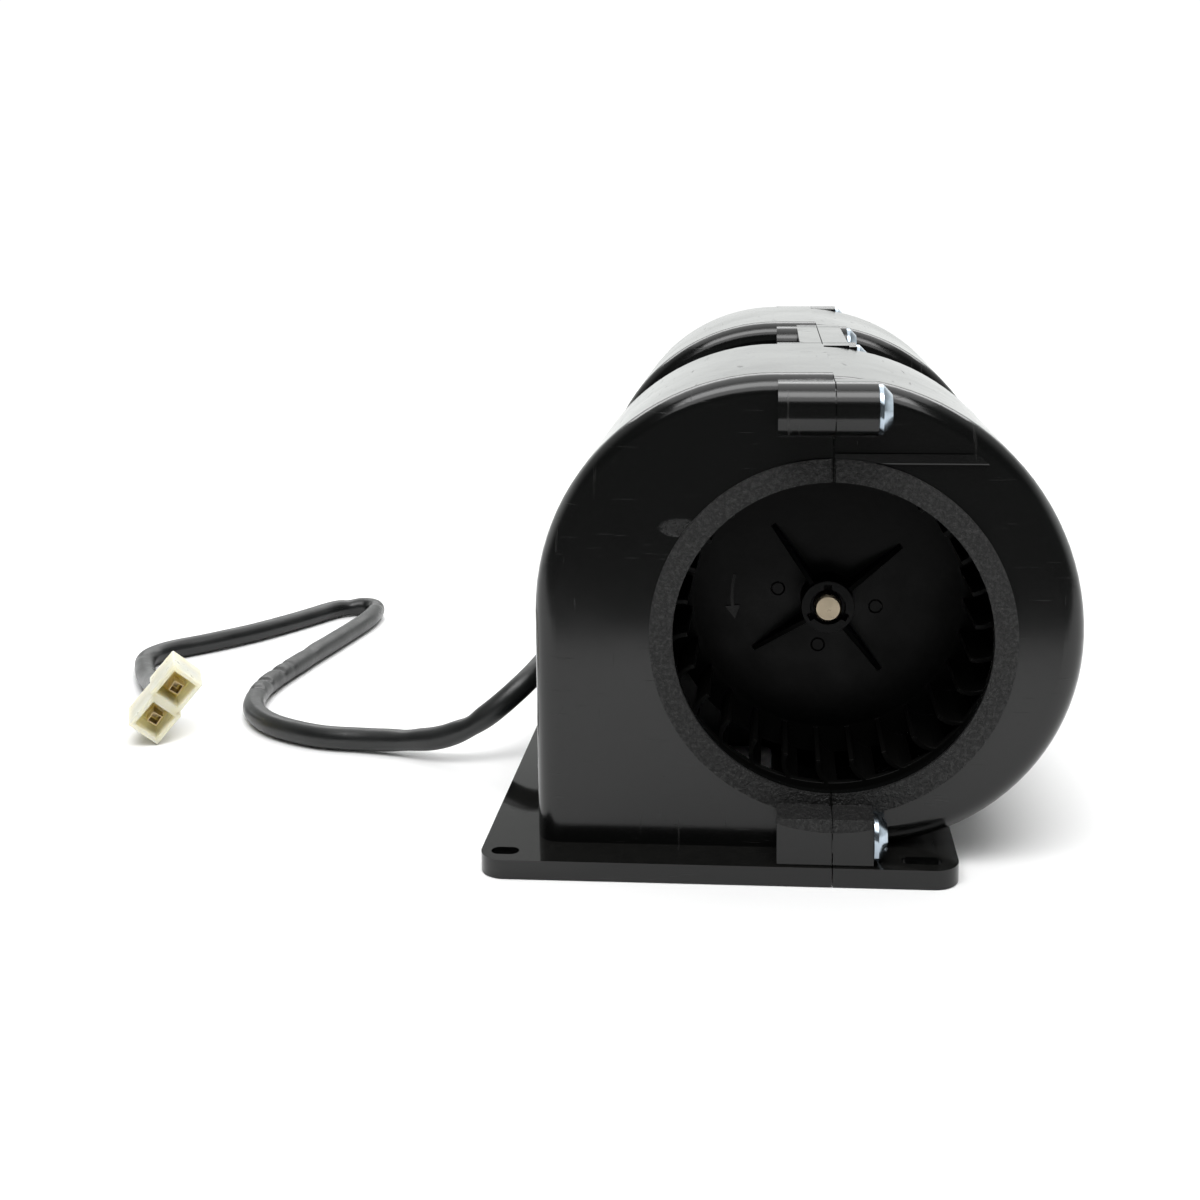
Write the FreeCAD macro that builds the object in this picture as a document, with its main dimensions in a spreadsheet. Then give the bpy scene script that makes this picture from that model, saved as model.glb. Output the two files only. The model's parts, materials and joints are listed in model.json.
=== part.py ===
"""Twin-scroll centrifugal blower: moulded casing halves, double-shaft motor, two squirrel-cage wheels, lead.

Millimetres. Origin at the centre of the base flange's underside, +X right and +Y away when the front inlet
faces the reader, +Z up. The rotor turns about an axis parallel to Y.
"""

import FreeCAD, Part
import math
import os
import Sketcher
from FreeCAD import Placement, Rotation, Vector

SIZES = {
    # base flange
    "flange_width": 129.0,
    "flange_length": 284.0,
    "flange_thick": 5.2,
    "flange_corner": 7.0,
    "slot_width": 4.5,
    "slot_inset": 6.0,
    "left_slot_place": -57.8,
    "left_slot_length": 7.6,
    "right_slot_place": 54.7,
    "right_slot_length": 11.0,
    # rotor axis and the two scrolls
    "axis_across": 30.6,
    "axis_height": 63.8,
    "scroll_inner_face": 38.0,
    "scroll_outer_face": 130.0,
    "wall": 2.5,
    "edge_round": 6.5,
    "seam_gap": 0.3,
    "seam_step": 0.9,
    # scroll outline, measured from the rotor axis
    "left_reach": 81.0,
    "right_reach": 67.5,
    "crown": 71.3,
    "left_arc": 66.0,
    "right_arc": 69.7,
    "low_arc": 59.6,
    "right_arc_rise": 1.6,
    "tongue_angle": 25.0,
    # inlets
    "inlet_bore": 42.9,
    "collar_radius": 49.2,
    "collar_rise": 1.0,
    "collar_split": 1.2,
    "collar_root": 3.8,
    "inlet_cut": 12.5,
    # raised bar on the right half's front face, above the collar
    "bar_base": 47.6,
    "bar_height": 3.0,
    "bar_reach": 40.4,
    "bar_point": 4.0,
    "bar_rise": 0.6,
    # screw lugs
    "lug_left": 15.9,
    "lug_right": 41.5,
    "lug_screw_reach": 6.8,
    "barrel_radius": 7.3,
    "barrel_rise": 63.2,
    "foot_lug_reach": 11.0,
    "foot_lug_top": 18.2,
    "foot_screw_height": 12.1,
    "lug_root": 3.0,
    "screw_radius": 2.0,
    "screw_hole": 2.1,
    "screw_length": 20.0,
    "screw_end_gap": 1.0,
    "head_radius": 6.6,
    "head_top_radius": 4.1,
    "head_height": 3.6,
    "head_washer": 1.2,
    "head_seat": 0.05,
    "recess_length": 4.6,
    "recess_width": 1.1,
    "recess_depth": 2.0,
    # bridge and motor cradle in the gap
    "bridge_left": 23.3,
    "bridge_right": 39.0,
    "bridge_thick": 2.6,
    "cradle_place": 26.0,
    "cradle_thick": 4.0,
    "cradle_inner": 32.6,
    "cradle_outer": 36.4,
    "pedestal_width": 21.0,
    "neck_width": 12.0,
    # wheels
    "wheel_place": 86.0,
    "wheel_half": 28.0,
    "wheel_disc": 2.4,
    "blade_inner": 40.0,
    "blade_outer": 48.0,
    "blade_thick": 1.3,
    "blade_curve": 6.5,
    "blade_count": 27,
    "rim_inner": 46.4,
    "rim_outer": 49.2,
    "rim_width": 2.4,
    "hub_radius": 7.7,
    "hub_front": 12.0,
    "hub_back": 12.0,
    "hub_mouth": 5.1,
    "hub_mouth_deep": 3.0,
    "rib_reach": 26.8,
    "rib_height": 9.5,
    "rib_thick": 1.4,
    "rib_turn": 36.0,
    "rib_tip": 0.8,
    "rib_count": 4,
    "blade_sag": 0.15,
    "disc_edge": 47.6,
    "notch_width": 2.0,
    "notch_reach": 6.4,
    "notch_count": 3,
    "notch_turn": 90.0,
    # motor
    "shaft_radius": 4.0,
    "shaft_half": 99.5,
    "shaft_chamfer": 0.6,
    "shaft_fit": 0.03,
    "can_radius": 29.5,
    "can_wall": 2.0,
    "can_half": 40.0,
    "bell_depth": 6.0,
    "bell_plate": 3.5,
    "bell_bevel": 2.0,
    "bell_boss": 10.8,
    "bell_boss_end": 53.0,
    "bearing_radius": 8.0,
    "bearing_near": 43.0,
    "bearing_far": 52.5,
    "magnet_inner": 22.6,
    "magnet_thick": 4.8,
    "magnet_half_angle": 55.0,
    "magnet_half": 24.0,
    "core_radius": 21.4,
    "core_front": -16.0,
    "core_back": 22.0,
    "core_slots": 10,
    "core_slot_width": 2.4,
    "core_slot_floor": 12.0,
    "coil_radius": 19.0,
    "coil_bore": 8.6,
    "coil_length": 6.0,
    "coil_gap": 0.1,
    "bar_gap": 0.3,
    "commutator_radius": 9.0,
    "commutator_front": -36.0,
    "commutator_back": -24.5,
    "segment_gap": 0.5,
    "segment_depth": 1.2,
    "segment_end": 2.0,
    "brush_width": 5.0,
    "brush_length": 9.0,
    "brush_place": -30.0,
    "brush_contact": 0.15,
    "brush_clearance": 0.1,
    "guide_wall": 1.2,
    "spring_seat": 26.9,
    "holder_front": -26.6,
    "holder_back": -24.4,
    "holder_bore": 11.0,
    "spring_radius": 2.0,
    "spring_bore": 1.3,
    "tie_radius": 1.5,
    "tie_clearance": 0.2,
    "tie_circle": 25.2,
    "tie_half": 46.0,
    "tie_head": 2.9,
    "tie_head_height": 2.4,
    "ring_width": 7.0,
    "washer_radius": 7.0,
    "washer_near": 40.8,
    "washer_thick": 1.2,
    # lead and connector
    "lead_diameter": 7.5,
    "grommet_angle": 205.0,
    "grommet_place": -12.0,
    "grommet_length": 18.0,
    "grommet_flange": 6.4,
    "grommet_flange_thick": 2.0,
    "grommet_root": 5.6,
    "grommet_tip": 4.3,
    "grommet_plug": 5.0,
    "connector_width": 12.2,
    "connector_height": 12.0,
    "connector_depth": 18.0,
    "connector_offset": 1.2,
    "connector_wall": 1.6,
    "connector_socket": 12.0,
    "connector_tilt": 48.0,
    "connector_yaw": 23.6,
    "terminal_width": 1.8,
    "terminal_length": 5.5,
    "wire_radius": 1.2,
    "wire_spread": 2.6,
    "wire_start_spread": 1.43,
    # how far a cutting or joining piece runs past the surface it meets
    "over": 1.0,
    # running clearance and seating gaps
    "bore_fit": 0.02,
    "seat": 0.05,
}

# The lead's route: straight runs between these points, each corner rounded by one tangent arc.
LEAD_ROUTE = [
    (-34.8, -13.0, 36.0),
    (-57.0, -30.0, 32.5),
    (-64.5, -58.0, 26.0),
    (-86.0, -62.0, 9.0),
    (-112.0, -52.5, 3.75),
    (-140.0, -50.0, 3.75),
    (-166.0, -30.0, 3.75),
    (-174.5, 1.0, 3.75),
    (-168.5, 35.0, 3.75),
    (-161.0, 68.0, 3.75),
    (-157.0, 93.0, 3.75),
    (-159.5, 110.0, 3.75),
    (-175.4, 108.0, 3.75),
    (-187.0, 86.0, 3.75),
    (-205.0, 60.0, 3.75),
    (-233.0, 36.0, 3.75),
    (-224.0, 14.0, 3.75),
    (-213.5, -3.0, 4.6),
    (-204.0, -18.0, 9.5),
]
CONNECTOR_FACE = (-188.5, -49.7, 13.6)
ARC_SHARE = 0.45

doc = FreeCAD.newDocument("blower")
sheet = doc.addObject("Spreadsheet::Sheet", "Sizes")
for row, (alias, value) in enumerate(SIZES.items(), start=1):
    sheet.set(f"A{row}", alias)
    sheet.set(f"B{row}", str(value))
    sheet.setAlias(f"B{row}", alias)
doc.recompute()

NODES = []


def size(alias):
    """The sheet's value for an alias."""
    return float(sheet.get(alias))


def bind(obj, **expressions):
    """Binds an object's properties to expressions in the sheet's aliases."""
    for prop, expression in expressions.items():
        obj.setExpression(prop, cell(expression))


def cell(expression):
    """Puts the sheet's name before every alias in an expression."""
    words = []
    for token in expression.replace("(", " ( ").replace(")", " ) ").split():
        words.append(f"Sizes.{token}" if token in SIZES else token)
    return " ".join(words)


def place(obj, across="0", along="0", up="0", rotation=None):
    """Binds an object's position to the sheet, after an optional fixed rotation."""
    if rotation is not None:
        obj.Placement = Placement(Vector(0, 0, 0), rotation)
    obj.setExpression(".Placement.Base.x", cell(across))
    obj.setExpression(".Placement.Base.y", cell(along))
    obj.setExpression(".Placement.Base.z", cell(up))
    return obj


def node(obj, name):
    """Marks an object as a finished sub-part with the label that names its file."""
    obj.Label = name
    NODES.append(obj)
    return obj


def block(name, length, width, height, across, along, up):
    """A box bound to the sheet."""
    box = doc.addObject("Part::Box", name)
    bind(box, Length=length, Width=width, Height=height)
    return place(box, across, along, up)


def rod(name, radius, length, across, along, up, rotation):
    """A cylinder bound to the sheet; it starts at the point and runs where the rotation sends +Z."""
    cylinder = doc.addObject("Part::Cylinder", name)
    bind(cylinder, Radius=radius, Height=length)
    return place(cylinder, across, along, up, rotation)


def cut(name, base, tool):
    obj = doc.addObject("Part::Cut", name)
    obj.Base = base
    obj.Tool = tool
    return obj


def fuse(name, shapes):
    obj = doc.addObject("Part::MultiFuse", name)
    obj.Shapes = shapes
    return obj


def common(name, shapes):
    obj = doc.addObject("Part::MultiCommon", name)
    obj.Shapes = shapes
    return obj


def feature(name, shape):
    """A shape made directly with Part's functions from the sheet's values."""
    obj = doc.addObject("Part::Feature", name)
    obj.Shape = shape
    return obj


ALONG_X = Rotation(Vector(0, 1, 0), 90)
ALONG_MINUS_X = Rotation(Vector(0, 1, 0), -90)
ALONG_Y = Rotation(Vector(1, 0, 0), -90)
AXIS = ("axis_across", "0", "axis_height")


def turned(name, profile):
    """A body turned about the rotor axis: the profile lists (radius, place along Y) as sheet expressions."""
    body = doc.addObject("PartDesign::Body", name)
    plane = next(f for f in body.Origin.OriginFeatures if f.Role == "XY_Plane")
    sketch = body.newObject("Sketcher::SketchObject", name + "_profile")
    sketch.AttachmentSupport = [(plane, "")]
    sketch.MapMode = "FlatFace"
    doc.recompute()
    points = [Vector(worth(radius), worth(along), 0) for radius, along in profile]
    for start, end in zip(points, points[1:] + points[:1]):
        sketch.addGeometry(Part.LineSegment(start, end), False)
    count = len(points)
    for index, (radius, along) in enumerate(profile):
        sketch.addConstraint(Sketcher.Constraint("Coincident", index, 2, (index + 1) % count, 1))
        for kind, expression in (("DistanceX", radius), ("DistanceY", along)):
            number = sketch.addConstraint(
                Sketcher.Constraint(kind, -1, 1, index, 1, worth(expression))
            )
            sketch.setExpression(f"Constraints[{number}]", cell(expression))
    spun = body.newObject("PartDesign::Revolution", name + "_turn")
    spun.Profile = sketch
    spun.ReferenceAxis = (sketch, ["V_Axis"])
    spun.Angle = 360.0
    return place(body, *AXIS)


def worth(expression):
    """The value of a sheet expression, for a sketch's first drawing."""
    return float(sheet.evalExpression(cell(expression)))


def tube(name, outer, inner, start, end):
    """A turned ring between two places along the rotor axis."""
    return turned(name, [(inner, start), (outer, start), (outer, end), (inner, end)])


# ---------------------------------------------------------------- casing


def from_axis(across, up):
    """A point of the scroll outline, given from the rotor axis."""
    return Vector(size("axis_across") + across, 0, size("axis_height") + up)


def arc_edge(centre, radius, start, end):
    """An arc about a point given from the rotor axis, its angles in degrees from +X towards +Z."""
    angles = [math.radians(a) for a in (start, (start + end) / 2, end)]
    marks = [
        from_axis(centre[0] + radius * math.cos(a), centre[1] + radius * math.sin(a)) for a in angles
    ]
    return Part.Arc(*marks).toShape(), marks


def scroll_prism(near, far, inset, drop, tongue, bottom):
    """The scroll outline, set in by inset, as a prism from near to far along Y.

    drop lowers the right-hand arcs; with tongue the outline runs on past its lowest point, up to the tongue.
    """
    left_reach = size("left_reach")
    left_centre = (size("left_arc") - left_reach, size("crown") - size("left_arc"))
    rise = size("right_arc_rise") - drop
    right_centre = (size("right_reach") - size("right_arc"), rise)
    low_centre = (size("right_reach") - size("low_arc"), rise)
    left_radius = size("left_arc") - inset
    left_bow, left_marks = arc_edge(left_centre, left_radius, 180, 90)
    right_bow, right_marks = arc_edge(right_centre, size("right_arc") - inset, 90, 0)
    low_end = -90 - (size("tongue_angle") if tongue else 0)
    low_bow, low_marks = arc_edge(low_centre, size("low_arc") - inset, 0, low_end)
    left_foot = Vector(left_marks[0].x, 0, bottom)
    right_foot = Vector(low_marks[2].x, 0, bottom)
    edges = [
        Part.makeLine(left_foot, left_marks[0]),
        left_bow,
        Part.makeLine(left_marks[2], right_marks[0]),
        right_bow,
        low_bow,
        Part.makeLine(low_marks[2], right_foot),
        Part.makeLine(right_foot, left_foot),
    ]
    face = Part.Face(Part.Wire(edges))
    face.translate(Vector(0, near, 0))
    return face.extrude(Vector(0, far - near, 0))


def rounded(prism, radius, floor):
    """Rounds the prism's end edges above floor."""
    ends = (prism.BoundBox.YMin, prism.BoundBox.YMax)
    edges = []
    for edge in prism.Edges:
        box = edge.BoundBox
        flat = any(abs(box.YMin - y) < 1e-4 and abs(box.YMax - y) < 1e-4 for y in ends)
        if flat and box.ZMax > floor:
            edges.append(edge)
    return prism.makeFillet(radius, edges)


def scroll(name, near, far, drop):
    """One scroll shell: a rounded skin around the air space, open below through the flange."""
    top = size("flange_thick")
    skin = rounded(scroll_prism(near, far, 0, drop, False, top - 1), size("edge_round"), top + 3)
    wall = size("wall")
    hollow = scroll_prism(near + wall, far - wall, wall, drop, True, -1)
    hollow = rounded(hollow, size("edge_round") - wall, top + 3)
    return feature(name + "_skin", skin), feature(name + "_air", hollow)


def flange(name):
    """The base flange with rounded plan corners and four slots."""
    plate = block(
        name + "_plate",
        "flange_width",
        "flange_length",
        "flange_thick",
        "-0.5 * flange_width",
        "-0.5 * flange_length",
        "0",
    )
    doc.recompute()
    rim = doc.addObject("Part::Fillet", name + "_corners")
    rim.Base = plate
    corner = size("flange_corner")
    edges = []
    for index, edge in enumerate(plate.Shape.Edges, start=1):
        direction = edge.tangentAt(edge.FirstParameter)
        if abs(direction.z) > abs(direction.x) + abs(direction.y):
            edges.append((index, corner, corner))
    rim.Edges = edges
    return rim


def slot(name, place_alias, length_alias, side):
    """A slot through the flange, its long way across."""
    middle = f"{side} * ( 0.5 * flange_length - slot_inset )"
    half = f"0.5 * ( {length_alias} - slot_width )"
    parts = [
        block(
            name + "_web",
            f"{length_alias} - slot_width",
            "slot_width",
            "flange_thick + 2 * over",
            f"{place_alias} - {half}",
            f"{middle} - 0.5 * slot_width",
            "-1 * over",
        )
    ]
    for end, sign in (("a", "-"), ("b", "+")):
        parts.append(
            rod(
                f"{name}_{end}",
                "0.5 * slot_width",
                "flange_thick + 2 * over",
                f"{place_alias} {sign} {half}",
                middle,
                "-1 * over",
                Rotation(),
            )
        )
    return parts


def lugs(name, face, side):
    """Barrel lug at the crown and block lug at the foot of one scroll face; side points out of the face."""
    reach = f"{face} + {side} * lug_screw_reach"
    width = "lug_right - lug_left"
    barrel = rod(name + "_barrel", "barrel_radius", width, "lug_left", reach,
                 "axis_height + barrel_rise", ALONG_X)
    web_near = f"{face} - lug_root" if side == "1" else f"{face} - lug_screw_reach"
    web = block(name + "_web", width, "lug_screw_reach + lug_root", "2 * barrel_radius - over", "lug_left",
                web_near, "axis_height + barrel_rise - barrel_radius + 0.5 * over")
    foot_near = f"{face} - lug_root" if side == "1" else f"{face} - foot_lug_reach"
    foot = block(name + "_foot", width, "foot_lug_reach + lug_root", "foot_lug_top", "lug_left", foot_near,
                 "0")
    return [barrel, web, foot]


def screw_holes(name, face, side):
    """The two screw holes of one face's lugs."""
    reach = f"{face} + {side} * lug_screw_reach"
    holes = []
    for label, height in (("crown", "axis_height + barrel_rise"), ("foot", "foot_screw_height")):
        holes.append(
            rod(f"{name}_{label}_hole", "screw_hole", "screw_length + screw_end_gap",
                "lug_right - screw_length - screw_end_gap", reach, height, ALONG_X)
        )
    return holes


FACES = {
    "front": ("-1 * scroll_outer_face", "-1"),
    "front_inner": ("-1 * scroll_inner_face", "1"),
    "rear_inner": ("scroll_inner_face", "-1"),
    "rear": ("scroll_outer_face", "1"),
}


def collar(name, face, side):
    """The raised ring round one inlet."""
    start = f"{face} - collar_root" if side == "1" else f"{face} - collar_rise"
    return rod(name + "_collar", "collar_radius", "collar_root + collar_rise", "axis_across", start,
               "axis_height", ALONG_Y)


def inlet(name, face, side):
    """The inlet bore, and the notch that parts the collar at the seam."""
    bore = rod(name + "_inlet", "inlet_bore", "inlet_cut", "axis_across", f"{face} - 0.5 * inlet_cut",
               "axis_height", ALONG_Y)
    notch_start = face if side == "1" else f"{face} - 2 * collar_rise"
    notch = block(name + "_notch", "collar_split", "2 * collar_rise", "2 * collar_radius + 2 * over",
                  "axis_across - 0.5 * collar_split", notch_start, "axis_height - collar_radius - over")
    return [bore, notch]


def face_bar(name):
    """The low raised bar on the right half's front face; its outer end tapers to a point."""
    left = size("seam_gap")
    right = size("bar_reach")
    low = size("bar_base")
    high = low + size("bar_height")
    tip = right - size("bar_point")
    corners = [from_axis(left, low), from_axis(right, low), from_axis(tip, high), from_axis(left, high)]
    profile = Part.Face(Part.makePolygon(corners + corners[:1]))
    depth = size("bar_rise") + 0.5 * size("wall")
    profile.translate(Vector(0, -size("scroll_outer_face") - size("bar_rise"), 0))
    return feature(name + "_bar", profile.extrude(Vector(0, depth, 0)))


def cradle(name, middle):
    """One motor cradle rib: a ring on a pedestal, tied to the bridge by a neck."""
    near = f"{middle} - 0.5 * cradle_thick"
    ring = rod(name + "_ring", "cradle_outer", "cradle_thick", "axis_across", near, "axis_height", ALONG_Y)
    pedestal = block(name + "_pedestal", "pedestal_width", "cradle_thick",
                     "axis_height - cradle_inner - flange_thick + over", "axis_across - 0.5 * pedestal_width",
                     near, "flange_thick - over")
    neck = block(name + "_neck", "neck_width", "cradle_thick", "crown - cradle_inner - bridge_thick + over",
                 "axis_across - 0.5 * neck_width", near, "axis_height + cradle_inner - 0.5 * over")
    bore = rod(name + "_bore", "cradle_inner", "cradle_thick + 2 * over", "axis_across", f"{near} - over",
               "axis_height", ALONG_Y)
    return [ring, pedestal, neck], bore


def casing_half(name, drop, left):
    """One moulded half, cut at the seam plane through the rotor axis."""
    solids = [flange(name)]
    hollows = []
    for label, near, far in (
        ("front", -size("scroll_outer_face"), -size("scroll_inner_face")),
        ("rear", size("scroll_inner_face"), size("scroll_outer_face")),
    ):
        skin, air = scroll(f"{name}_{label}", near, far, drop)
        solids.append(skin)
        hollows.append(air)
    for label, (face, side) in FACES.items():
        solids.append(collar(f"{name}_{label}", face, side))
    walls = cut(name + "_hollowed", fuse(name + "_walls", solids), fuse(name + "_airways", hollows))
    added = [walls]
    drilled = []
    for label, (face, side) in FACES.items():
        added += lugs(f"{name}_{label}", face, side)
        drilled += screw_holes(f"{name}_{label}", face, side)
        drilled += inlet(f"{name}_{label}", face, side)
    if not left:
        added.append(face_bar(name))
    added.append(
        block(name + "_bridge", "bridge_right - bridge_left", "2 * scroll_inner_face + 2 * wall",
              "bridge_thick", "bridge_left", "-1 * scroll_inner_face - wall",
              "axis_height + crown - bridge_thick - seam_step")
    )
    for label, middle in (("near", "-1 * cradle_place"), ("far", "cradle_place")):
        ribs, bore = cradle(f"{name}_{label}_cradle", middle)
        added += ribs
        drilled.append(bore)
    for side in ("-1", "1"):
        tag = "near" if side == "-1" else "far"
        drilled += slot(f"{name}_left_slot_{tag}", "left_slot_place", "left_slot_length", side)
        drilled += slot(f"{name}_right_slot_{tag}", "right_slot_place", "right_slot_length", side)
    whole = cut(name + "_whole", fuse(name + "_solid", added), fuse(name + "_drilled", drilled))
    start = "-1 * flange_width" if left else "axis_across + 0.5 * seam_gap"
    length = "axis_across + flange_width - 0.5 * seam_gap" if left else "flange_width"
    keep = block(name + "_side", length, "2 * flange_length", "3 * axis_height", start,
                 "-1 * flange_length", "-0.5 * axis_height")
    return node(common(name, [whole, keep]), name)


def casing_screw(name, reach, height):
    """One screw: shank, washer face, tapered head and cross recess, its head on the lug's right side."""
    shank = rod(name + "_shank", "screw_radius", "screw_length + head_washer", "lug_right - screw_length",
                reach, height, ALONG_X)
    washer = rod(name + "_washer", "head_radius", "head_washer", "lug_right + head_seat", reach, height,
                 ALONG_X)
    head = doc.addObject("Part::Cone", name + "_head")
    bind(head, Radius1="head_radius", Radius2="head_top_radius", Height="head_height - head_washer")
    place(head, "lug_right + head_seat + head_washer", reach, height, ALONG_X)
    floor = "lug_right + head_seat + head_height - recess_depth"
    recess = []
    for label, deep, tall in (
        ("along", "recess_length", "recess_width"),
        ("upright", "recess_width", "recess_length"),
    ):
        recess.append(
            block(f"{name}_recess_{label}", "recess_depth + over", deep, tall, floor,
                  f"{reach} - 0.5 * {deep}", f"{height} - 0.5 * {tall}")
        )
    return cut(name, fuse(name + "_body", [shank, washer, head]), fuse(name + "_recess", recess))


def casing_screws():
    """Washer-head screws, driven from the right; one node of separate solids."""
    screws = []
    for label, (face, side) in FACES.items():
        reach = f"{face} + {side} * lug_screw_reach"
        for spot, height in (("crown", "axis_height + barrel_rise"), ("foot", "foot_screw_height")):
            screws.append(casing_screw(f"screw_{label}_{spot}", reach, height))
    group = doc.addObject("Part::Compound", "casing_screws_group")
    group.Links = screws
    return node(group, "casing_screws")


# ---------------------------------------------------------------- wheels


def blade_ring(middle):
    """The curved blades of one wheel: each an arc-shaped strip from the inner to the outer circle."""
    inner = size("blade_inner")
    outer = size("blade_outer")
    bow = math.radians(size("blade_curve"))
    thick = size("blade_thick")
    half = size("wheel_half")
    count = int(size("blade_count"))
    centre = from_axis(0, 0)

    def spot(radius, angle):
        return centre + Vector(radius * math.cos(angle), middle - half, radius * math.sin(angle))

    inside = thick / inner
    outside = thick / outer
    between = (inner + outer) / 2
    sag = size("blade_sag") * bow
    face_a = Part.Arc(spot(inner, 0), spot(between, sag), spot(outer, bow)).toShape()
    face_b = Part.Arc(
        spot(outer, bow - outside), spot(between, sag - inside), spot(inner, -inside)
    ).toShape()
    tip = Part.makeLine(spot(outer, bow), spot(outer, bow - outside))
    root = Part.makeLine(spot(inner, -inside), spot(inner, 0))
    strip = Part.Face(Part.Wire([face_a, tip, face_b, root]))
    blade = strip.extrude(Vector(0, 2 * half, 0))
    blades = []
    for index in range(count):
        copy = blade.copy()
        copy.rotate(centre, Vector(0, 1, 0), index * 360.0 / count)
        blades.append(copy)
    return Part.makeCompound(blades)


def round_axis(shape, count, first):
    """Copies of a shape evenly spaced round the rotor axis; it is drawn about the origin, along +X."""
    copies = []
    for index in range(count):
        copy = shape.copy()
        copy.rotate(Vector(0, 0, 0), Vector(0, 1, 0), -(first + index * 360.0 / count))
        copy.translate(from_axis(0, 0))
        copies.append(copy)
    return copies


def wheel(name, middle, outward):
    """One wheel: hub and centre disc, two rims, ribs in front of the disc, and the blades between the rims.

    outward is -1 when the open face looks along -Y, 1 when it looks along +Y.
    """
    core = turned(name + "_core", [
        ("shaft_radius + bore_fit", f"{middle} - {outward} * hub_back"),
        ("hub_radius", f"{middle} - {outward} * hub_back"),
        ("hub_radius", f"{middle} - {outward} * 0.5 * wheel_disc"),
        ("disc_edge", f"{middle} - {outward} * 0.5 * wheel_disc"),
        ("disc_edge", f"{middle} + {outward} * 0.5 * wheel_disc"),
        ("hub_radius", f"{middle} + {outward} * 0.5 * wheel_disc"),
        ("hub_radius", f"{middle} + {outward} * hub_front"),
        ("hub_mouth", f"{middle} + {outward} * hub_front"),
        ("hub_mouth", f"{middle} + {outward} * ( hub_front - hub_mouth_deep )"),
        ("shaft_radius + bore_fit", f"{middle} + {outward} * ( hub_front - hub_mouth_deep )"),
    ])
    rims = [
        tube(f"{name}_rim_near", "rim_outer", "rim_inner", f"{middle} - wheel_half",
             f"{middle} - wheel_half + rim_width"),
        tube(f"{name}_rim_far", "rim_outer", "rim_inner", f"{middle} + wheel_half - rim_width",
             f"{middle} + wheel_half"),
    ]
    side = float(outward)
    disc_face = worth(middle) + side * size("wheel_disc") / 2
    root = size("hub_radius") - size("over")
    sunk = disc_face - side * size("wheel_disc") / 4
    corners = [
        Vector(root, sunk, 0),
        Vector(size("rib_reach"), sunk, 0),
        Vector(size("rib_reach"), disc_face + side * size("rib_tip"), 0),
        Vector(root, disc_face + side * size("rib_height"), 0),
    ]
    thick = size("rib_thick")
    rib = Part.Face(Part.makePolygon(corners + corners[:1])).extrude(Vector(0, 0, thick))
    rib.translate(Vector(0, 0, -thick / 2))
    ribs = round_axis(rib, int(size("rib_count")), size("rib_turn"))
    deep = size("hub_mouth_deep")
    mouth = worth(middle) + side * size("hub_front")
    start = min(mouth, mouth - side * deep) - size("over") / 2
    wide = size("notch_width")
    notch = Part.makeBox(size("notch_reach"), deep + size("over"), wide, Vector(0, start, -wide / 2))
    notches = round_axis(notch, int(size("notch_count")), size("notch_turn"))
    rib_set = feature(name + "_ribs", Part.makeCompound(ribs))
    notch_set = feature(name + "_notches", Part.makeCompound(notches))
    blades = feature(name + "_blades", blade_ring(worth(middle)))
    solid = fuse(name + "_solid", [core, *rims, rib_set, blades])
    return node(cut(name, solid, notch_set), name)


# ---------------------------------------------------------------- motor


def can_with_port():
    """The drawn can, with the hole that takes the lead's grommet."""
    can = tube("can_tube", "can_radius", "can_radius - can_wall", "-1 * can_half", "can_half")
    port = Part.makeCylinder(size("grommet_plug") + size("seat"), size("can_radius"))
    port.Placement = Placement(lead_start(0), grommet_rotation())
    return node(cut("can", can, feature("can_port", port)), "motor_can")


def grommet_direction():
    angle = math.radians(size("grommet_angle"))
    return Vector(math.cos(angle), 0, math.sin(angle))


def grommet_rotation():
    return Rotation(Vector(0, 0, 1), grommet_direction())


def lead_start(reach):
    """A point on the grommet's axis, reach from the rotor axis."""
    return from_axis(0, 0) + Vector(0, size("grommet_place"), 0) + grommet_direction() * reach


def end_bell(name, side):
    """A die-cast end bell: plate, outer lip on the can's end and a boss for the bearing."""
    face = f"{side} * can_half"
    inner_face = f"{side} * ( can_half + bell_depth - bell_plate )"
    shell = turned(name + "_turned", [
        ("bearing_radius + bore_fit", f"{side} * bell_boss_end"),
        ("bell_boss", f"{side} * bell_boss_end"),
        ("bell_boss", f"{side} * ( can_half + bell_depth )"),
        ("can_radius - bell_bevel", f"{side} * ( can_half + bell_depth )"),
        ("can_radius", f"{side} * ( can_half + bell_depth - bell_bevel )"),
        ("can_radius", face),
        ("can_radius - can_wall", face),
        ("can_radius - can_wall", inner_face),
        ("bearing_radius + bore_fit", inner_face),
    ])
    holes = []
    for label, sign in (("left", "-"), ("right", "+")):
        holes.append(
            rod(f"{name}_{label}_tie_hole", "tie_radius + tie_clearance", "2 * bell_depth + 2 * over",
                f"axis_across {sign} tie_circle", f"{side} * can_half - bell_depth - over", "axis_height",
                ALONG_Y)
        )
    return node(cut(name + "_drilled", shell, fuse(name + "_holes", holes)), name)


ABOVE_AND_BELOW = (90, 270)


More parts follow.
